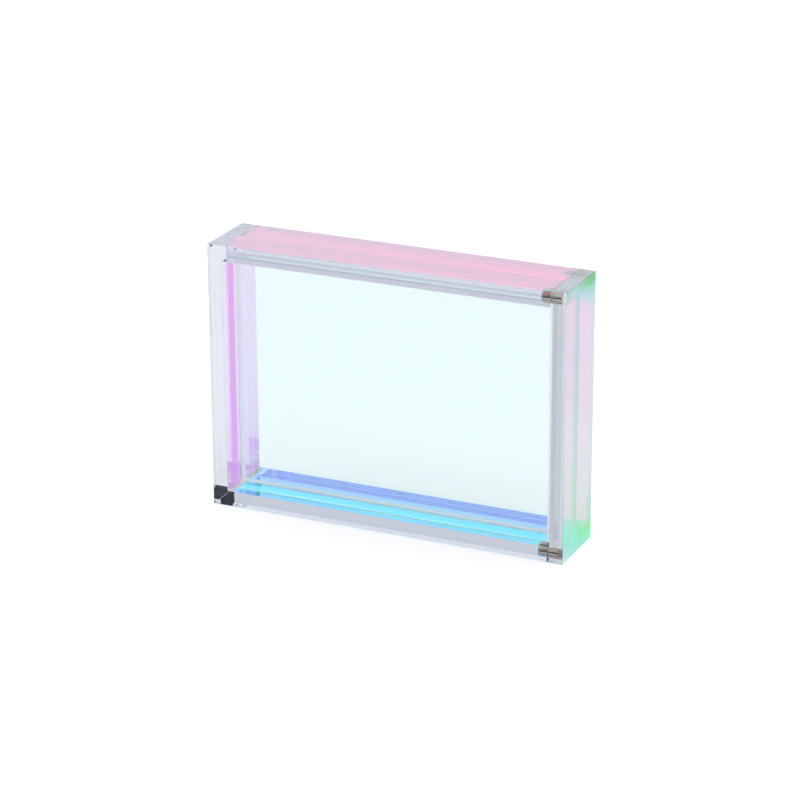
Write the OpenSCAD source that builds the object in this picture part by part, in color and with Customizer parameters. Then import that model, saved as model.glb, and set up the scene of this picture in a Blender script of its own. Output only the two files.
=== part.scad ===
// Clear acrylic box frame for a small print, standing on its long side.
// The left, top and bottom bars are cemented into a U. The right bar closes it and is held by
// pairs of magnets. Two panes slide along milled slots, with the print between them.
// X runs to the right, Y runs from the front to the back and Z is up.
// The origin is on the surface it stands on, below the middle of the frame.

/* [Window] */
// Width of the clear window, the long side of the print
window_w = 127; // [90:1:200]
// Height of the clear window, the short side of the print
window_h = 89; // [60:1:150]

/* [Bars] */
// Thickness of each bar, with its film
wall_t = 6; // [5.2:0.1:9]
// Depth of the frame from front to back
frame_d = 27.5; // [23:0.5:45]
// Width of the eased edges of the bars
edge_ease = 0.3; // [0.1:0.05:0.5]
// Play between the bar that comes off and the ends it closes on
seam_gap = 0.1; // [0.05:0.05:0.4]

/* [Panes] */
// Thickness of one pane
pane_t = 2; // [1:0.1:3]
// Room between the two panes for the print
print_gap = 0.1; // [0.05:0.05:0.6]
// Width of the eased edges of the panes
pane_ease = 0.2; // [0.05:0.05:0.4]

/* [Slots] */
// Depth of the slot milled into each bar
slot_depth = 2; // [1:0.1:3]
// Play on either side of the pair of panes
slot_side_play = 0.1; // [0.05:0.05:0.4]
// Play between the edges of the panes and the slots
slot_edge_play = 0.2; // [0.1:0.05:0.5]

/* [Film] */
// Thickness of the colour-shifting film on the outer faces
film_t = 0.15; // [0.1:0.05:0.3]

/* [Magnets] */
// Diameter of a magnet
magnet_d = 4; // [2.5:0.1:4.4]
// Length of a magnet
magnet_l = 3.7; // [2:0.1:4.4]
// Distance from the front or back face to the magnets' axes
magnet_inset = 3.5; // [3:0.1:6]
// Width of the eased edges of a magnet
magnet_ease = 0.25; // [0.1:0.05:0.4]
// Room for adhesive round and behind each magnet
pocket_play = 0.05; // [0.03:0.01:0.15]

/* [Hidden] */
$fn = 64;

// How far each cut runs past the face it opens
overrun = 1;

// Overall size, set by the window and the bars round it
frame_w = window_w + wall_t * 2;
frame_h = window_h + wall_t * 2;
core_t = wall_t - film_t;

// Faces of the window, and the end of the bars that the loose side bar closes on
window_x = window_w / 2;
window_low = wall_t;
window_top = frame_h - wall_t;
seam_x = window_x - seam_gap;
span_l = seam_x + window_x;

// Slot, as wide as the pair of panes with the print between them
stack_t = pane_t * 2 + print_gap;
slot_w = stack_t + slot_side_play * 2;
slot_r = slot_w / 2;

// The panes reach into the slots on all four sides
pane_reach = slot_depth - slot_edge_play;
pane_w = window_w + pane_reach * 2;
pane_h = window_h + pane_reach * 2;
pane_low = window_low - pane_reach;

// The cutter leaves round ends, so the slot in a side bar runs on until the square corners of
// the panes clear its rounding
corner_run = slot_r - sqrt(slot_r * slot_r - stack_t * stack_t / 4);
side_slot_reach = pane_reach + slot_edge_play + corner_run;

// Magnet axes, halfway through the bars and the same distance from the front and the back
magnet_y = frame_d / 2 - magnet_inset;
magnet_low = wall_t / 2;
magnet_top = frame_h - wall_t / 2;
pocket_r = magnet_d / 2 + pocket_play;
pocket_l = magnet_l + pocket_play;

clear_acrylic = [0.86, 0.93, 0.96, 0.4];
pink_film = [0.95, 0.72, 0.86, 0.5];
pane_acrylic = [0.88, 0.97, 0.97, 0.3];
nickel = [0.78, 0.76, 0.72];

// Rectangle with its corners eased at 45 degrees, its low corner at the origin
function eased_outline(a, b, ease) = [
    [ease, 0], [a - ease, 0], [a, ease], [a, b - ease],
    [a - ease, b], [ease, b], [0, b - ease], [0, ease]
];

// Block with all twelve edges eased
module eased_block(size, ease) {
    intersection() {
        linear_extrude(size.z)
            polygon(eased_outline(size.x, size.y, ease));
        translate([0, size.y, 0])
            rotate([90, 0, 0])
                linear_extrude(size.y)
                    polygon(eased_outline(size.x, size.z, ease));
        rotate([90, 0, 90])
            linear_extrude(size.x)
                polygon(eased_outline(size.y, size.z, ease));
    }
}

// Bar that lies along X from the left side bar to the seam, with only its long edges eased
module eased_rail() {
    translate([-window_x, -frame_d / 2, 0])
        rotate([90, 0, 90])
            linear_extrude(span_l)
                polygon(eased_outline(frame_d, core_t, edge_ease));
}

// Room for a magnet, drilled along +X from where it is placed
module magnet_pocket() {
    rotate([0, 90, 0])
        cylinder(r = pocket_r, h = pocket_l + overrun);
}

// Magnet along +X, its exposed face at the origin
module magnet() {
    r = magnet_d / 2;
    rotate([0, 90, 0])
        rotate_extrude()
            polygon([
                [0, 0], [r - magnet_ease, 0], [r, magnet_ease],
                [r, magnet_l - magnet_ease], [r - magnet_ease, magnet_l], [0, magnet_l]
            ]);
}

// Slot across a rail, open at both ends, with its floor at the origin
module rail_slot() {
    translate([-window_x - overrun, -slot_r, 0])
        cube([span_l + overrun * 2, slot_w, slot_depth + overrun]);
}

// Slot down a side bar, with the round ends that the cutter leaves, its floor at the origin
module side_slot() {
    low = window_low - side_slot_reach + slot_r;
    high = window_top + side_slot_reach - slot_r;
    rotate([0, 90, 0])
        linear_extrude(slot_depth + overrun) {
            translate([-high, -slot_r])
                square([high - low, slot_w]);
            for (z = [low, high])
                translate([-z, 0])
                    circle(r = slot_r);
        }
}

// Side bar with its slot, its inner face at x = 0 and its body towards +X
module side_bar_core() {
    difference() {
        translate([0, -frame_d / 2, 0])
            eased_block([core_t, frame_d, frame_h], edge_ease);
        translate([slot_depth, 0, 0])
            mirror([1, 0, 0])
                side_slot();
    }
}

// The bar on the left, cemented to the ends of the top and bottom bars
module left_side_bar() {
    color(clear_acrylic)
        translate([-window_x, 0, 0])
            mirror([1, 0, 0])
                side_bar_core();
}

// The bar on the right, which pulls off, with four magnet pockets in its inner face
module right_side_bar() {
    color(clear_acrylic)
        translate([window_x, 0, 0])
            difference() {
                side_bar_core();
                for (y = [-magnet_y, magnet_y])
                    for (z = [magnet_low, magnet_top])
                        translate([-overrun, y, z])
                            magnet_pocket();
            }
}

// Pockets at the right end of a rail, their mouths at the seam
module rail_pockets(z) {
    for (y = [-magnet_y, magnet_y])
        translate([seam_x + overrun, y, z])
            mirror([1, 0, 0])
                magnet_pocket();
}

module top_bar() {
    color(clear_acrylic)
        difference() {
            translate([0, 0, window_top])
                eased_rail();
            translate([0, 0, window_top + slot_depth])
                mirror([0, 0, 1])
                    rail_slot();
            rail_pockets(magnet_top);
        }
}

module bottom_bar() {
    color(clear_acrylic)
        difference() {
            translate([0, 0, film_t])
                eased_rail();
            translate([0, 0, window_low - slot_depth])
                rail_slot();
            rail_pockets(magnet_low);
        }
}

// Film on the outer face of a side bar, its inner side at x = 0 and its body towards +X
module side_film() {
    color(pink_film)
        translate([0, -frame_d / 2 + edge_ease, edge_ease])
            cube([film_t, frame_d - edge_ease * 2, frame_h - edge_ease * 2]);
}

// Film on the outer face of a rail, its lower side at z = 0
module rail_film() {
    color(pink_film)
        translate([-window_x, -frame_d / 2 + edge_ease, 0])
            cube([span_l, frame_d - edge_ease * 2, film_t]);
}

module left_film() {
    mirror([1, 0, 0])
        translate([window_x + core_t, 0, 0])
            side_film();
}

module right_film() {
    translate([window_x + core_t, 0, 0])
        side_film();
}

module top_film() {
    translate([0, 0, frame_h - film_t])
        rail_film();
}

module bottom_film() {
    rail_film();
}

// Pane with its front side at y = 0
module pane() {
    color(pane_acrylic)
        translate([-pane_w / 2, 0, pane_low])
            eased_block([pane_w, pane_t, pane_h], pane_ease);
}

module front_pane() {
    translate([0, -stack_t / 2, 0])
        pane();
}

module back_pane() {
    translate([0, print_gap / 2, 0])
        pane();
}

// Magnet at the right end of a rail, its face flush with the seam
module rail_magnet(y, z) {
    color(nickel)
        translate([seam_x, y, z])
            mirror([1, 0, 0])
                magnet();
}

// Magnet in the side bar that comes off, its face flush with the bar's inner face
module side_bar_magnet(y, z) {
    color(nickel)
        translate([window_x, y, z])
            magnet();
}

left_side_bar();
right_side_bar();
top_bar();
bottom_bar();
left_film();
right_film();
top_film();
bottom_film();
front_pane();
back_pane();
rail_magnet(-magnet_y, magnet_top);  // top_bar_front_magnet
rail_magnet(magnet_y, magnet_top);  // top_bar_back_magnet
rail_magnet(-magnet_y, magnet_low);  // bottom_bar_front_magnet
rail_magnet(magnet_y, magnet_low);  // bottom_bar_back_magnet
side_bar_magnet(-magnet_y, magnet_top);  // side_bar_top_front_magnet
side_bar_magnet(magnet_y, magnet_top);  // side_bar_top_back_magnet
side_bar_magnet(-magnet_y, magnet_low);  // side_bar_bottom_front_magnet
side_bar_magnet(magnet_y, magnet_low);  // side_bar_bottom_back_magnet
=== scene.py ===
import bmesh
import bpy
import math
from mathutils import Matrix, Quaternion, Vector


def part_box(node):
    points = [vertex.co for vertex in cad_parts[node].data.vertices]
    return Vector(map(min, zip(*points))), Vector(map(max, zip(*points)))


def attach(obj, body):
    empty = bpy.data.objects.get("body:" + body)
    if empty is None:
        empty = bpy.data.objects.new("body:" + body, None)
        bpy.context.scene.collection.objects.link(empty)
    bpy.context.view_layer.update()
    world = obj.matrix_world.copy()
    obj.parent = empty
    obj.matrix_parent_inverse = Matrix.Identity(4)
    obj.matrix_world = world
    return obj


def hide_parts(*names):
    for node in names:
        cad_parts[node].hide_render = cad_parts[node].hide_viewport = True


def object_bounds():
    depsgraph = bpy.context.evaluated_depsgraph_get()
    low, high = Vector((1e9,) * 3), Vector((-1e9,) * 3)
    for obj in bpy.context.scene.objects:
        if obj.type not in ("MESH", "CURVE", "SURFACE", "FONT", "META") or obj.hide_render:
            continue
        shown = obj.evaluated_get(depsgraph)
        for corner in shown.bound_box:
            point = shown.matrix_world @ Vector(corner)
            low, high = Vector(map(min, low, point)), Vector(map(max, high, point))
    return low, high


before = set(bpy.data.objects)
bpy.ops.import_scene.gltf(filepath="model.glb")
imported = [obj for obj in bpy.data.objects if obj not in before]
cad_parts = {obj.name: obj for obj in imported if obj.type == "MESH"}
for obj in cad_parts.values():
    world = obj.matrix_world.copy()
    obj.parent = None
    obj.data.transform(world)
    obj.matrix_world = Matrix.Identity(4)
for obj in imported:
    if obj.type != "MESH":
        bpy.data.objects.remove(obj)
cadLow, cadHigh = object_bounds()
print("frame loaded:", len(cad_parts), "nodes")

mm = 0.001  # sizes below are in millimetres
scene = bpy.context.scene


def toLinear(hexColor):  # sRGB hex to the linear colour that sockets take
    out = []
    for i in (0, 2, 4):
        c = int(hexColor[i:i + 2], 16) / 255
        out.append(c / 12.92 if c <= 0.04045 else ((c + 0.055) / 1.055) ** 2.4)
    return (*out, 1.0)


def boxOf(node):  # a CAD node's corners, in millimetres
    low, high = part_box(node)
    return low / mm, high / mm


# Materials: one function adds any node, with its settings and the links into it
def addNode(tree, kind, settings=None, inputs=None, links=None):
    node = tree.nodes.new(kind)
    for name, value in (settings or {}).items():
        setattr(node, name, value)
    for name, value in (inputs or {}).items():
        node.inputs[name].default_value = value
    for name, source in (links or {}).items():
        tree.links.new(source, node.inputs[name])
    return node


def colorsAlong(tree, place, stops):  # linear colours at places in mm along a direction
    first, last = stops[0][0], stops[-1][0]
    share = addNode(tree, "ShaderNodeMapRange", None,
                    {"From Min": first * mm, "From Max": last * mm}, {"Value": place})
    ramp = addNode(tree, "ShaderNodeValToRGB", None, None, {"Fac": share.outputs["Result"]})
    dots = ramp.color_ramp.elements
    while len(dots) < len(stops):
        dots.new(0.5)
    for dot, stop in zip(dots, stops):
        dot.position = (stop[0] - first) / (last - first)
        dot.color = stop[1]
    return ramp.outputs["Color"]


def newMaterial(name):
    material = bpy.data.materials.new(name)
    material.use_nodes = True
    material.node_tree.nodes.clear()
    return material, material.node_tree


# Polished cast acrylic: clear and glossy, with a trace of waviness left by the polishing wheel
polished = {
    "color": "e9edf2",
    "ior": 1.49,
    "waveSize": 9.0,  # mm from one wheel mark to the next
    "waveHeight": 0.0002,  # mm
    "roughness": (0.0, 0.008),
    "roughFrom": (0.45, 0.75),  # of the wave
}


def makePolishedAcrylic():
    material, tree = newMaterial("polishedCastAcrylic")
    coords = addNode(tree, "ShaderNodeTexCoord")
    wave = addNode(tree, "ShaderNodeTexNoise", None,
                   {"Scale": 1 / (polished["waveSize"] * mm), "Detail": 2.0},
                   {"Vector": coords.outputs["Object"]})
    start, end = polished["roughFrom"]
    low, high = polished["roughness"]
    rough = addNode(tree, "ShaderNodeMapRange", None,
                    {"From Min": start, "From Max": end, "To Min": low, "To Max": high},
                    {"Value": wave.outputs["Fac"]})
    bump = addNode(tree, "ShaderNodeBump", None,
                   {"Strength": 1.0, "Distance": polished["waveHeight"] * mm},
                   {"Height": wave.outputs["Fac"]})
    body = addNode(tree, "ShaderNodeBsdfPrincipled", None,
                   {"Base Color": toLinear(polished["color"]), "IOR": polished["ior"],
                    "Transmission Weight": 1.0},
                   {"Roughness": rough.outputs["Result"], "Normal": bump.outputs["Normal"]})
    addNode(tree, "ShaderNodeOutputMaterial", None, None, {"Surface": body.outputs["BSDF"]})
    return material


# Milled acrylic: the cutter leaves the slot's walls a little duller than the polished faces
milled = {
    "name": "milledCastAcrylic",
    "color": "dfe2ea",
    "frost": "e9eff8",
    "ior": 1.49,
    "patchSize": 3.0,  # mm from one duller patch to the next
    "patchFrom": (0.3, 0.7),
    "roughness": (0.10, 0.16),
    "scatter": 0.3,
    # Painted glow: an emission on the slot walls that stands in for the light the bars guide to
    # them
    "paintedGuidedGlow": ("d4d6d8", 0.65),  # the light that the bars guide to the frosted walls
}
# The loose bar's slot is milled apart from the others and scatters more. Its greyer frost is
# painted shade that darkens that slot's walls
milledLoose = dict(milled, name="milledLooseShadedAcrylic", frost="c0c4c8", scatter=0.75,
                   paintedGuidedGlow=("d4d6d8", 0.67))
# Sanded acrylic: the sawn upper ends of the side bars, an even pale grey
sanded = {
    "name": "sandedCastAcrylic",
    "color": "e6eaf0",
    "frost": "e6ecf0",
    "ior": 1.49,
    "patchSize": 2.0,  # mm
    "patchFrom": (0.3, 0.7),
    "roughness": (0.22, 0.30),
    "scatter": 0.6,
    # Painted glow: an emission on the sawn ends that stands in for guided light
    "paintedGuidedGlow": ("ccdcd8", 0.62),
}


def makeDullAcrylic(dull):
    material, tree = newMaterial(dull["name"])
    coords = addNode(tree, "ShaderNodeTexCoord")
    patch = addNode(tree, "ShaderNodeTexNoise", None,
                    {"Scale": 1 / (dull["patchSize"] * mm), "Detail": 1.0},
                    {"Vector": coords.outputs["Object"]})
    start, end = dull["patchFrom"]
    low, high = dull["roughness"]
    rough = addNode(tree, "ShaderNodeMapRange", None,
                    {"From Min": start, "From Max": end, "To Min": low, "To Max": high},
                    {"Value": patch.outputs["Fac"]})
    body = addNode(tree, "ShaderNodeBsdfPrincipled", None,
                   {"Base Color": toLinear(dull["color"]), "IOR": dull["ior"],
                    "Transmission Weight": 1.0},
                   {"Roughness": rough.outputs["Result"]})
    frost = addNode(tree, "ShaderNodeBsdfTranslucent", None, {"Color": toLinear(dull["frost"])})
    # the frosted share carries a painted glow, which stands in for guided light
    color, strength = dull["paintedGuidedGlow"]
    glow = addNode(tree, "ShaderNodeEmission", None,
                   {"Color": toLinear(color), "Strength": strength})
    lit = addNode(tree, "ShaderNodeAddShader")
    tree.links.new(frost.outputs["BSDF"], lit.inputs[0])
    tree.links.new(glow.outputs["Emission"], lit.inputs[1])
    mix = addNode(tree, "ShaderNodeMixShader", None, {"Fac": dull["scatter"]})
    tree.links.new(body.outputs["BSDF"], mix.inputs[1])
    tree.links.new(lit.outputs["Shader"], mix.inputs[2])
    addNode(tree, "ShaderNodeOutputMaterial", None, None, {"Surface": mix.outputs["Shader"]})
    return material


# Clear acrylic sheet: glossy from the press, with the faint blue-green of a thin sheet. Its sawn
# edges are frosted and carry a painted glow, brighter on the level edges than on the upright ones,
# and together these make the pale lines in the slots
sheet = {
    "color": "f7fffe",
    "edgeColor": "eef3fa",
    "ior": 1.49,
    "edgeRoughness": 0.45,
    "edgeScatter": 0.6,
    "edgeHaze": 0.5,  # of the scattered light, the share that turns back
    # Painted glow on the sawn edges, standing in for the light that the sheet guides to them
    "paintedEdgeGlow": (0.3, 0.85),  # the light it guides to its upright and to its level edges
    "edgeFrom": (0.95, 0.6),  # how far a face turns from the front before it counts as an edge
    "waveSize": 40.0,  # mm, the slow ripple of a pressed sheet
    "waveHeight": 0.0004,  # mm
}


def makeSheetAcrylic():
    material, tree = newMaterial("clearAcrylicSheet")
    coords = addNode(tree, "ShaderNodeTexCoord")
    parts = addNode(tree, "ShaderNodeSeparateXYZ", None, None, {"Vector": coords.outputs["Normal"]})
    flat = addNode(tree, "ShaderNodeMath", {"operation": "ABSOLUTE"})
    tree.links.new(parts.outputs["Y"], flat.inputs[0])
    start, end = sheet["edgeFrom"]
    sawn = addNode(tree, "ShaderNodeMapRange", None,
                   {"From Min": start, "From Max": end}, {"Value": flat.outputs["Value"]})
    tint = addNode(tree, "ShaderNodeMix", {"data_type": "RGBA"}, None,
                   {"Factor": sawn.outputs["Result"]})
    tint.inputs[6].default_value = toLinear(sheet["color"])
    tint.inputs[7].default_value = toLinear(sheet["edgeColor"])
    rough = addNode(tree, "ShaderNodeMapRange", None, {"To Max": sheet["edgeRoughness"]},
                    {"Value": sawn.outputs["Result"]})
    wave = addNode(tree, "ShaderNodeTexNoise", None,
                   {"Scale": 1 / (sheet["waveSize"] * mm), "Detail": 1.0},
                   {"Vector": coords.outputs["Object"]})
    bump = addNode(tree, "ShaderNodeBump", None,
                   {"Strength": 1.0, "Distance": sheet["waveHeight"] * mm},
                   {"Height": wave.outputs["Fac"]})
    body = addNode(tree, "ShaderNodeBsdfPrincipled", None,
                   {"IOR": sheet["ior"], "Transmission Weight": 1.0},
                   {"Base Color": tint.outputs[2], "Roughness": rough.outputs["Result"],
                    "Normal": bump.outputs["Normal"]})
    frost = addNode(tree, "ShaderNodeBsdfTranslucent", None,
                    {"Color": toLinear(sheet["edgeColor"])})
    pale = addNode(tree, "ShaderNodeBsdfDiffuse", None, {"Color": toLinear(sheet["edgeColor"])})
    haze = addNode(tree, "ShaderNodeMixShader", None, {"Fac": sheet["edgeHaze"]})
    tree.links.new(frost.outputs["BSDF"], haze.inputs[1])
    tree.links.new(pale.outputs["BSDF"], haze.inputs[2])
    upward = addNode(tree, "ShaderNodeMath", {"operation": "ABSOLUTE"})
    tree.links.new(parts.outputs["Z"], upward.inputs[0])
    low, high = sheet["paintedEdgeGlow"]
    strength = addNode(tree, "ShaderNodeMapRange", None, {"To Min": low, "To Max": high},
                       {"Value": upward.outputs["Value"]})
    # painted glow on the sawn edges
    paintedGuidedGlow = addNode(tree, "ShaderNodeEmission", None, {"Color": toLinear(sheet["edgeColor"])},
                     {"Strength": strength.outputs["Result"]})
    lit = addNode(tree, "ShaderNodeAddShader")
    tree.links.new(haze.outputs["Shader"], lit.inputs[0])
    tree.links.new(paintedGuidedGlow.outputs["Emission"], lit.inputs[1])
    share = addNode(tree, "ShaderNodeMath", {"operation": "MULTIPLY"})
    tree.links.new(sawn.outputs["Result"], share.inputs[0])
    share.inputs[1].default_value = sheet["edgeScatter"]
    mix = addNode(tree, "ShaderNodeMixShader", None, None, {"Fac": share.outputs["Value"]})
    tree.links.new(body.outputs["BSDF"], mix.inputs[1])
    tree.links.new(lit.outputs["Shader"], mix.inputs[2])
    addNode(tree, "ShaderNodeOutputMaterial", None, None, {"Surface": mix.outputs["Shader"]})
    return material


# Dichroic film: glossy, it lets some colours through and mirrors the others. The colours change
# across each film, so each stop has a place in mm along a direction, the colour let through and the
# colour mirrored. The stops hold the coating's own colours and also painted light and shade: the
# right film's colours let through grow darker towards its ends, and the bottom film's front and
# back differ in colour. A painted streak's stops hold factors on the two colours, by the depth in
# mm
films = {
    "thick": 0.05,  # mm
    "airGap": 0.02,  # mm between the film and the acrylic
    "patchSize": 45.0,  # mm from one slow change of the coating to the next
    "patchFrom": (0.3, 0.7),
    "patchDrift": 0.06,  # of the length that the stops cover
    "left": {
        "along": (0.0, 0.0, 1.0),
        "stops": ((4.0, "f6b5f6", "61bf69"),
                  (14.0, "f3a2fd", "69ce61"),
                  (32.0, "f1a2fd", "7cd161"),
                  (60.0, "f69ef6", "7cd76f"),
                  (92.0, "f69ef6", "7cd76f"),
                  (99.0, "d4dadf", "7c8181")),
        # A painted streak: stripes of light and shade on the film, set by depth
        "paintedStreak": ((-8.0, (1.0, 1.0, 1.0), (1.0, 1.0, 1.0)),
                   (-5.0, (0.92, 0.44, 0.98), (1.0, 0.85, 1.0)),
                   (-1.5, (0.92, 0.44, 0.98), (1.0, 0.85, 1.0)),
                   (0.5, (1.0, 1.0, 1.0), (1.0, 1.0, 1.0)),
                   (3.0, (1.0, 1.0, 1.0), (1.5, 0.88, 1.0))),
    },
    "right": {
        "along": (0.0, 0.41, 1.0),
        # darker colours let through towards both ends: painted shade
        "stops": ((-6.0, "592769", "faefff"),
                  (8.0, "613086", "aaf8df"),
                  (14.0, "9930aa", "90f6b5"),
                  (20.0, "b630b8", "afe7b8"),
                  (40.0, "b830bc", "b5e5bc"),
                  (52.0, "c230c0", "afdeb6"),
                  (90.0, "c230cb", "b1daaf"),
                  (95.0, "8638ad", "a4dfbc"),
                  (102.0, "693869", "81d19b")),
        # A painted streak: stripes of light and shade on the film, set by depth
        "paintedStreak": ((-13.0, (1.0, 1.0, 0.79), (1.0, 0.94, 1.0)),
                   (-5.3, (1.0, 1.0, 0.88), (0.97, 0.94, 0.9)),
                   (-4.6, (0.45, 1.0, 0.75), (0.97, 0.94, 0.9)),
                   (-1.6, (0.45, 1.0, 0.75), (0.97, 0.94, 0.9)),
                   (-0.9, (1.0, 1.0, 0.9), (0.96, 0.94, 0.9)),
                   (13.0, (1.0, 1.0, 1.0), (0.90, 1.0, 0.80))),
    },
    "top": {
        "along": (1.0, 0.0, 0.0),
        "stops": ((-60.0, "f93097", "7ce7d1"),
                  (60.0, "fd3095", "7ee2d0")),
    },
    "bottom": {
        "along": (0.0, 1.0, 0.0),
        # Painted glow: the film emits a share of its mirrored colour, standing in for light from
        # the paper below
        "paintedUpwelling": 0.27,  # of the mirrored colour: what the paper below sends up through it
        # front and back colours differ: partly painted light and shade
        "stops": ((-9.5, "696995", "8ee5ff"),
                  (-7.0, "556f8b", "81f3ff"),
                  (-5.1, "7c7c7c", "b5ffff"),
                  (-3.4, "506f8b", "7cefff"),
                  (0.5, "45697c", "7cf1ff"),
                  (2.2, "3f6f6f", "7cf3e5"),
                  (7.0, "7c6f9e", "b5e7ff"),
                  (11.0, "906fb1", "bcdaff")),
    },
}


def makeFilm(side):
    material, tree = newMaterial("dichroicFilm_" + side)
    film = films[side]
    first, last = film["stops"][0][0], film["stops"][-1][0]
    coords = addNode(tree, "ShaderNodeTexCoord")
    place = addNode(tree, "ShaderNodeVectorMath", {"operation": "DOT_PRODUCT"})
    tree.links.new(coords.outputs["Object"], place.inputs[0])
    place.inputs[1].default_value = film["along"]
    patch = addNode(tree, "ShaderNodeTexNoise", None,
                    {"Scale": 1 / (films["patchSize"] * mm), "Detail": 1.0},
                    {"Vector": coords.outputs["Object"]})
    reach = films["patchDrift"] * (last - first) * mm
    start, end = films["patchFrom"]
    swing = addNode(tree, "ShaderNodeMapRange", None,
                    {"From Min": start, "From Max": end, "To Min": -reach, "To Max": reach},
                    {"Value": patch.outputs["Fac"]})
    drift = addNode(tree, "ShaderNodeMath", {"operation": "ADD"})
    tree.links.new(place.outputs["Value"], drift.inputs[0])
    tree.links.new(swing.outputs["Result"], drift.inputs[1])
    through, mirrored = [
        colorsAlong(tree, drift.outputs["Value"],
                    [(stop[0], toLinear(stop[way])) for stop in film["stops"]])
        for way in (1, 2)]
    if "paintedStreak" in film:  # painted light and shade in stripes that run lengthwise
        parts = addNode(tree, "ShaderNodeSeparateXYZ", None, None,
                        {"Vector": coords.outputs["Object"]})
        tints = []
        for way, tint in ((1, through), (2, mirrored)):
            paintedStreak = addNode(tree, "ShaderNodeVectorMath", {"operation": "MULTIPLY"})
            tree.links.new(tint, paintedStreak.inputs[0])
            factors = [(stop[0], (*stop[way], 1.0)) for stop in film["paintedStreak"]]
            tree.links.new(colorsAlong(tree, parts.outputs["Y"], factors), paintedStreak.inputs[1])
            tints.append(paintedStreak.outputs["Vector"])
        through, mirrored = tints
    clear = addNode(tree, "ShaderNodeBsdfTransparent", None, None, {"Color": through})
    gloss = addNode(tree, "ShaderNodeBsdfAnisotropic", None, {"Roughness": 0.0},
                    {"Color": mirrored})
    both = addNode(tree, "ShaderNodeAddShader")
    tree.links.new(clear.outputs["BSDF"], both.inputs[0])
    tree.links.new(gloss.outputs["BSDF"], both.inputs[1])
    coating = both
    # painted glow from below on the bottom film
    if "paintedUpwelling" in film:
        glow = addNode(tree, "ShaderNodeEmission", None, {"Strength": film["paintedUpwelling"]},
                       {"Color": mirrored})
        coating = addNode(tree, "ShaderNodeAddShader")
        tree.links.new(both.outputs["Shader"], coating.inputs[0])
        tree.links.new(glow.outputs["Emission"], coating.inputs[1])
    air = addNode(tree, "ShaderNodeBsdfTransparent")
    # the far side of the film is left clear, so that light meets its coating once
    face = addNode(tree, "ShaderNodeNewGeometry")
    mix = addNode(tree, "ShaderNodeMixShader", None, None, {"Fac": face.outputs["Backfacing"]})
    tree.links.new(coating.outputs["Shader"], mix.inputs[1])
    tree.links.new(air.outputs["BSDF"], mix.inputs[2])
    addNode(tree, "ShaderNodeOutputMaterial", None, None, {"Surface": mix.outputs["Shader"]})
    return material


# Nickel plate: bright, a little warm, with fine barrel-plating scuffs
nickel = {
    "color": "bdb5a8",
    "scuffSize": 0.35,  # mm
    "scuffFrom": (0.35, 0.7),
    "roughness": (0.05, 0.14),
}


def makeNickel():
    material, tree = newMaterial("brightNickelPlate")
    coords = addNode(tree, "ShaderNodeTexCoord")
    scuff = addNode(tree, "ShaderNodeTexNoise", None,
                    {"Scale": 1 / (nickel["scuffSize"] * mm), "Detail": 3.0},
                    {"Vector": coords.outputs["Object"]})
    start, end = nickel["scuffFrom"]
    low, high = nickel["roughness"]
    rough = addNode(tree, "ShaderNodeMapRange", None,
                    {"From Min": start, "From Max": end, "To Min": low, "To Max": high},
                    {"Value": scuff.outputs["Fac"]})
    body = addNode(tree, "ShaderNodeBsdfPrincipled", None,
                   {"Base Color": toLinear(nickel["color"]), "Metallic": 1.0},
                   {"Roughness": rough.outputs["Result"]})
    addNode(tree, "ShaderNodeOutputMaterial", None, None, {"Surface": body.outputs["BSDF"]})
    return material


polishedAcrylic = makePolishedAcrylic()
milledAcrylic = makeDullAcrylic(milled)
milledLooseShadedAcrylic = makeDullAcrylic(milledLoose)
sandedAcrylic = makeDullAcrylic(sanded)
sheetAcrylic = makeSheetAcrylic()
nickelPlate = makeNickel()
filmOf = {side: makeFilm(side) for side in ("left", "right", "top", "bottom")}
print("materials made:", len(bpy.data.materials))


# Meshes
def toObject(name, bm, *materials):
    mesh = bpy.data.meshes.new(name)
    bmesh.ops.recalc_face_normals(bm, faces=bm.faces)
    bm.to_mesh(mesh)
    bm.free()
    for material in materials:
        mesh.materials.append(material)
    piece = bpy.data.objects.new(name, mesh)
    scene.collection.objects.link(piece)
    return piece


def carry(outline, travel):  # a closed outline of points in mm, carried along a travel in mm
    bm = bmesh.new()
    face = bm.faces.new([bm.verts.new(Vector(p) * mm) for p in outline])
    grown = bmesh.ops.extrude_face_region(bm, geom=[face])
    moved = [v for v in grown["geom"] if isinstance(v, bmesh.types.BMVert)]
    bmesh.ops.translate(bm, verts=moved, vec=Vector(travel) * mm)
    bmesh.ops.recalc_face_normals(bm, faces=bm.faces)
    return bm


def block(low, high):
    outline = [(low[0], low[1], low[2]), (high[0], low[1], low[2]),
               (high[0], low[1], high[2]), (low[0], low[1], high[2])]
    return carry(outline, (0, high[1] - low[1], 0))


def ease(bm, width, segments=2, turn=0.5):  # rounds the outward edges, not the inward ones
    sharp = [e for e in bm.edges if e.is_convex and e.calc_face_angle(0) > turn]
    bmesh.ops.bevel(bm, geom=sharp, offset=width * mm, offset_type="OFFSET", segments=segments,
                    profile=0.5, affect="EDGES", clamp_overlap=True)
    return bm


def cut(piece, cutter):  # the cutter's own material lines the cut
    modifier = piece.modifiers.new("cut", "BOOLEAN")
    modifier.operation = "DIFFERENCE"
    modifier.solver = "EXACT"
    modifier.material_mode = "TRANSFER"
    modifier.object = cutter
    bpy.context.view_layer.update()
    shape = bpy.data.meshes.new_from_object(
        piece.evaluated_get(bpy.context.evaluated_depsgraph_get()))
    piece.modifiers.clear()
    piece.data = shape
    bpy.data.objects.remove(cutter)


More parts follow.
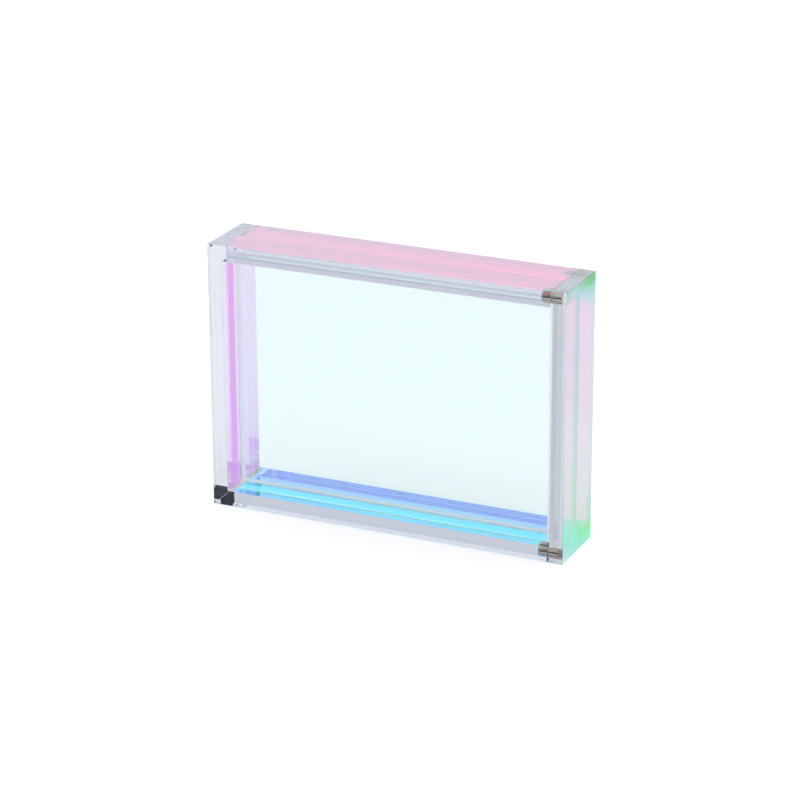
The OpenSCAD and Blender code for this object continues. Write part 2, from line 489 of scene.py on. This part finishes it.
def revolve(profile, y, z, segments):  # (x, radius) points turned round an axis along X, in mm
    bm = bmesh.new()
    rings = []
    for x, radius in profile:
        ring = []
        for i in range(segments):
            a = 2 * math.pi * i / segments
            ring.append(bm.verts.new(Vector((x, y + radius * math.cos(a),
                                             z + radius * math.sin(a))) * mm))
        rings.append(ring)
    for near, far in zip(rings, rings[1:]):
        for i in range(segments):
            j = (i + 1) % segments
            bm.faces.new((near[i], near[j], far[j], far[i]))
    bm.faces.new(rings[0])
    bm.faces.new(rings[-1])
    return bm


def smoothCurves(piece, facet=1.0):  # facets under this area, in mm2, belong to a curve
    for polygon in piece.data.polygons:
        polygon.use_smooth = polygon.area < facet * mm * mm


def sandEnd(piece, low, high, upward=0.95, near=1.0):  # a side bar's top, low to high in X
    piece.data.materials.append(sandedAcrylic)
    for polygon in piece.data.polygons:
        inBar = low < polygon.center.x / mm < high
        atTop = polygon.normal.z > upward and polygon.center.z / mm > outerTop - near
        if inBar and atTop:
            polygon.material_index = len(piece.data.materials) - 1


def settle(piece, body, slot, *replaced):
    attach(piece, body)
    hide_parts(*replaced)


# The acrylic bars, placed by the CAD nodes, with the slots cut from them
bars = {
    "edge": 0.12,  # mm, the edge eased by polishing
    "slotHalf": 2.15,  # half its width
    "slotDeep": 2.0,
    "slotRun": 3.5,  # how far the milled slot runs past the window in the side bars
    "slotTurns": 16,
    "over": 1.0,  # how far a cutter runs past the face that it opens
}
leftLow, leftHigh = boxOf("left_side_bar")
rightLow = boxOf("right_side_bar")[0]
topLow, topHigh = boxOf("top_bar")
bottomHigh = boxOf("bottom_bar")[1]
frontY, backY = leftLow.y, leftHigh.y
windowLow, windowTop = bottomHigh.z, topLow.z
windowLeft, windowRight = leftHigh.x, rightLow.x
seamX = topHigh.x
filmRoom = films["thick"] + films["airGap"]
outerLeft, outerRight = cadLow.x / mm + filmRoom, cadHigh.x / mm - filmRoom
outerLow, outerTop = cadLow.z / mm + filmRoom, cadHigh.z / mm - filmRoom


def cutSideSlot(piece, innerX, toward, lining):  # into a side bar's inner face, with round ends
    half, turns = bars["slotHalf"], bars["slotTurns"]
    low = windowLow - bars["slotRun"] + half
    high = windowTop + bars["slotRun"] - half
    start = innerX - toward * bars["over"]
    outline = []
    for middle, turned in ((high, 0.0), (low, math.pi)):
        for i in range(turns + 1):
            a = turned + math.pi * i / turns
            outline.append((start, half * math.cos(a), middle + half * math.sin(a)))
    travel = (toward * (bars["over"] + bars["slotDeep"]), 0, 0)
    cut(piece, toObject("cutter", carry(outline, travel), lining))


gluedMagnets = ["top_bar_front_magnet", "top_bar_back_magnet",
                "bottom_bar_front_magnet", "bottom_bar_back_magnet"]
looseMagnets = ["side_bar_top_front_magnet", "side_bar_top_back_magnet",
                "side_bar_bottom_front_magnet", "side_bar_bottom_back_magnet"]

# The left, top and bottom bars are cemented, so light meets no surface between them: one piece
gluedOutline = [(outerLeft, outerLow), (seamX, outerLow), (seamX, windowLow),
                (windowLeft, windowLow), (windowLeft, windowTop), (seamX, windowTop),
                (seamX, outerTop), (outerLeft, outerTop)]
gluedShape = ease(carry([(x, frontY, z) for x, z in gluedOutline], (0, backY - frontY, 0)),
                  bars["edge"])
bmesh.ops.bisect_plane(gluedShape, geom=gluedShape.verts[:] + gluedShape.edges[:]
                       + gluedShape.faces[:], plane_co=Vector((windowLeft, 0, 0)) * mm,
                       plane_no=(1, 0, 0))
gluedBars = toObject("glued_clear_bars", gluedShape, polishedAcrylic)
cutSideSlot(gluedBars, windowLeft, -1, milledAcrylic)
for low, high in ((windowLow - bars["slotDeep"], windowLow + bars["over"]),
                  (windowTop - bars["over"], windowTop + bars["slotDeep"])):
    cut(gluedBars, toObject("cutter", block(
        (windowLeft - bars["slotDeep"], -bars["slotHalf"], low),
        (seamX + bars["over"], bars["slotHalf"], high)), milledAcrylic))
smoothCurves(gluedBars)
sandEnd(gluedBars, outerLeft, windowLeft)
settle(gluedBars, "glued_frame", "clear_acrylic", "left_side_bar", "top_bar", "bottom_bar")

# The right bar comes off, so it has its own faces at the seam
looseBar = toObject("loose_clear_bar", ease(block(
    (windowRight, frontY, cadLow.z / mm), (outerRight, backY, cadHigh.z / mm)), bars["edge"]),
    polishedAcrylic)
cutSideSlot(looseBar, windowRight, 1, milledLooseShadedAcrylic)
smoothCurves(looseBar)
sandEnd(looseBar, windowRight, outerRight)
settle(looseBar, "loose_side", "clear_acrylic", "right_side_bar")
print("bars made:", len(gluedBars.data.polygons), "and", len(looseBar.data.polygons), "faces")

# Magnets: short plated rods with rounded rims. Clear cement fills the room round them, so light
# meets no surface there but the metal; the end at the seam stands a hair proud of the acrylic
magnets = {"rim": 0.25, "rimSteps": 4, "segments": 96, "proud": 0.02}  # lengths in mm


def makeMagnet(node, body, toward):
    low, high = boxOf(node)
    low.x += toward * magnets["proud"]
    high.x += toward * magnets["proud"]
    radius, rim, steps = (high.z - low.z) / 2, magnets["rim"], magnets["rimSteps"]
    profile = []
    for i in range(steps + 1):
        a = math.pi / 2 * i / steps
        profile.append((low.x + rim * (1 - math.sin(a)), radius - rim * (1 - math.cos(a))))
    profile.reverse()
    far = [(low.x + high.x - x, r) for x, r in reversed(profile)]
    rod = toObject(node.replace("_magnet", "_plated_magnet"), revolve(
        profile + far, (low.y + high.y) / 2, (low.z + high.z) / 2, magnets["segments"]),
        nickelPlate)
    smoothCurves(rod)
    settle(rod, body, "nickel_plate", node)


for node in gluedMagnets:
    makeMagnet(node, "glued_frame", 1)
for node in looseMagnets:
    makeMagnet(node, "loose_side", -1)
print("magnets made:", len(gluedMagnets + looseMagnets))


# Films: thin sheets just proud of the acrylic, flush with the outside of the frame
def makeFilmSheet(side, node, body):
    low, high = boxOf(node)
    low, high = list(low), list(high)
    axis = 0 if side in ("left", "right") else 2
    low[1], high[1] = frontY + bars["edge"], backY - bars["edge"]
    if axis == 0:
        low[2], high[2] = cadLow.z / mm + bars["edge"], cadHigh.z / mm - bars["edge"]
    if side in ("left", "bottom"):
        high[axis] = low[axis] + films["thick"]
    else:
        low[axis] = high[axis] - films["thick"]
    film = toObject(node.replace("_film", "_dichroic_film"), block(low, high), filmOf[side])
    settle(film, body, "dichroic_film", node)


makeFilmSheet("left", "left_film", "glued_frame")
makeFilmSheet("top", "top_film", "glued_frame")
makeFilmSheet("bottom", "bottom_film", "glued_frame")
makeFilmSheet("right", "right_film", "loose_side")

# The panes' CAD solids have the right shape and stay, with the sheet's material in their slots
for node in ("front_pane", "back_pane"):
    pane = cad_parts[node]
    pane.data.materials.clear()
    pane.data.materials.append(sheetAcrylic)
print("films and panes made")

# Floor: plain white paper, lit evenly. The camera sees it as white, and the acrylic shows it a
# little darker
floor = {
    "size": 12000.0,  # mm
    "thick": 20.0,  # mm
    "drop": 0.03,  # mm below the film, so that the two faces don't meet
    "paper": "e6e7e9",
    "glow": 0.68,  # lifts the paper to white
    "seen": 0.93,  # its level for the camera
    "through": 0.74,  # its level through the acrylic and in its reflections
}


def makeFloor():
    half = floor["size"] / 2
    ground = toObject("table_top", block((-half, -half, -floor["thick"]),
                                         (half, half, -floor["drop"])))
    material, tree = newMaterial("palePaper")
    path = addNode(tree, "ShaderNodeLightPath")
    direct = addNode(tree, "ShaderNodeMapRange", None,
                     {"To Min": floor["through"], "To Max": floor["seen"]},
                     {"Value": path.outputs["Is Camera Ray"]})
    level = addNode(tree, "ShaderNodeMath", {"operation": "MAXIMUM"})
    tree.links.new(direct.outputs["Result"], level.inputs[0])
    tree.links.new(path.outputs["Is Diffuse Ray"], level.inputs[1])
    color = addNode(tree, "ShaderNodeVectorMath", {"operation": "SCALE"})
    color.inputs[0].default_value = toLinear(floor["paper"])[:3]
    tree.links.new(level.outputs["Value"], color.inputs["Scale"])
    paper = addNode(tree, "ShaderNodeBsdfDiffuse", None, None, {"Color": color.outputs["Vector"]})
    lift = addNode(tree, "ShaderNodeMapRange", None,
                   {"To Min": floor["glow"], "To Max": 0.0},
                   {"Value": path.outputs["Is Diffuse Ray"]})
    power = addNode(tree, "ShaderNodeMath", {"operation": "MULTIPLY"})
    tree.links.new(lift.outputs["Result"], power.inputs[0])
    tree.links.new(level.outputs["Value"], power.inputs[1])
    glow = addNode(tree, "ShaderNodeEmission", None, {"Color": (1.0, 1.0, 1.0, 1.0)},
                   {"Strength": power.outputs["Value"]})
    both = addNode(tree, "ShaderNodeAddShader")
    tree.links.new(paper.outputs["BSDF"], both.inputs[0])
    tree.links.new(glow.outputs["Emission"], both.inputs[1])
    addNode(tree, "ShaderNodeOutputMaterial", None, None, {"Surface": both.outputs["Shader"]})
    ground.data.materials.append(material)


makeFloor()

# Studio: pale walls, a lit ceiling and a dark front side. A black card stands behind on the
# right, out of the picture; it darkens the corners where the acrylic mirrors twice
studio = {
    "wall": "d8dce4",
    "ceiling": (1.15, 1.16, 1.18),
    "ceilingFrom": (0.55, 0.72),  # how far up a direction points, from wall to ceiling
    "frontSide": "1c1c20",
    "frontFrom": (-0.40, -0.60),  # how far forward it points, from wall to dark
    "card": "062850",
    "feltScale": 900.0,
    "cardLow": (-45.0, 300.0, 2.0),  # mm
    "cardHigh": (150.0, 302.0, 290.0),
}


def makeStudio():
    world = bpy.data.worlds.new("studio")
    scene.world = world
    world.use_nodes = True
    tree = world.node_tree
    tree.nodes.clear()
    way = addNode(tree, "ShaderNodeTexCoord")
    parts = addNode(tree, "ShaderNodeSeparateXYZ", None, None, {"Vector": way.outputs["Generated"]})
    start, end = studio["ceilingFrom"]
    up = addNode(tree, "ShaderNodeMapRange", {"interpolation_type": "SMOOTHSTEP"},
                 {"From Min": start, "From Max": end}, {"Value": parts.outputs["Z"]})
    walls = addNode(tree, "ShaderNodeMix", {"data_type": "RGBA"}, None,
                    {"Factor": up.outputs["Result"]})
    walls.inputs[6].default_value = toLinear(studio["wall"])
    walls.inputs[7].default_value = (*studio["ceiling"], 1.0)
    start, end = studio["frontFrom"]
    forward = addNode(tree, "ShaderNodeMapRange", {"interpolation_type": "SMOOTHSTEP"},
                      {"From Min": start, "From Max": end}, {"Value": parts.outputs["Y"]})
    room = addNode(tree, "ShaderNodeMix", {"data_type": "RGBA"}, None,
                   {"Factor": forward.outputs["Result"]})
    tree.links.new(walls.outputs[2], room.inputs[6])
    room.inputs[7].default_value = toLinear(studio["frontSide"])
    sky = addNode(tree, "ShaderNodeBackground", None, {"Strength": 1.0},
                  {"Color": room.outputs[2]})
    plain = addNode(tree, "ShaderNodeBackground", None, {"Color": (1.0, 1.0, 1.0, 1.0)})
    path = addNode(tree, "ShaderNodeLightPath")
    mix = addNode(tree, "ShaderNodeMixShader", None, None, {"Fac": path.outputs["Is Camera Ray"]})
    tree.links.new(sky.outputs["Background"], mix.inputs[1])
    tree.links.new(plain.outputs["Background"], mix.inputs[2])
    addNode(tree, "ShaderNodeOutputWorld", None, None, {"Surface": mix.outputs["Shader"]})
    card = toObject("black_card", block(studio["cardLow"], studio["cardHigh"]))
    material, tree = newMaterial("blackCard")
    grain = addNode(tree, "ShaderNodeTexNoise", None,
                    {"Scale": studio["feltScale"], "Detail": 2.0})
    felt = addNode(tree, "ShaderNodeMix", {"data_type": "RGBA"}, None,
                   {"Factor": grain.outputs["Fac"]})
    felt.inputs[6].default_value = toLinear(studio["card"])
    felt.inputs[7].default_value = (0.0, 0.0, 0.0, 1.0)
    body = addNode(tree, "ShaderNodeBsdfDiffuse", None, None, {"Color": felt.outputs[2]})
    addNode(tree, "ShaderNodeOutputMaterial", None, None, {"Surface": body.outputs["BSDF"]})
    card.data.materials.append(material)
    card.visible_camera = False
    card.visible_diffuse = False
    card.visible_shadow = False


makeStudio()

# Camera: solved from the frame's corners in the photograph
shot = {
    "place": (425.99, -928.14, 433.14),  # mm
    "aim": (6.66, -13.75, 52.63),  # mm
    "roll": -0.0040151,  # radians
    "focalPixels": 3029.6,
    "imagePixels": 800,
    "sensor": 36.0,  # mm
    "farthest": 100.0,  # metres
}
cameraData = bpy.data.cameras.new("camera")
camera = bpy.data.objects.new("camera", cameraData)
scene.collection.objects.link(camera)
cameraData.sensor_width = shot["sensor"]
cameraData.lens = shot["focalPixels"] / shot["imagePixels"] * shot["sensor"]
cameraData.clip_end = shot["farthest"]
camera.location = Vector(shot["place"]) * mm
camera.rotation_mode = "QUATERNION"
sight = Vector(shot["aim"]) - Vector(shot["place"])
camera.rotation_quaternion = (sight.to_track_quat("-Z", "Y")
                              @ Quaternion((0, 0, 1), shot["roll"]))
scene.camera = camera

scene.view_settings.view_transform = "Standard"
scene.cycles.max_bounces = 32
scene.cycles.transmission_bounces = 32
scene.cycles.glossy_bounces = 16
scene.cycles.transparent_max_bounces = 32
scene.cycles.diffuse_bounces = 4
print("floor, studio and camera made")
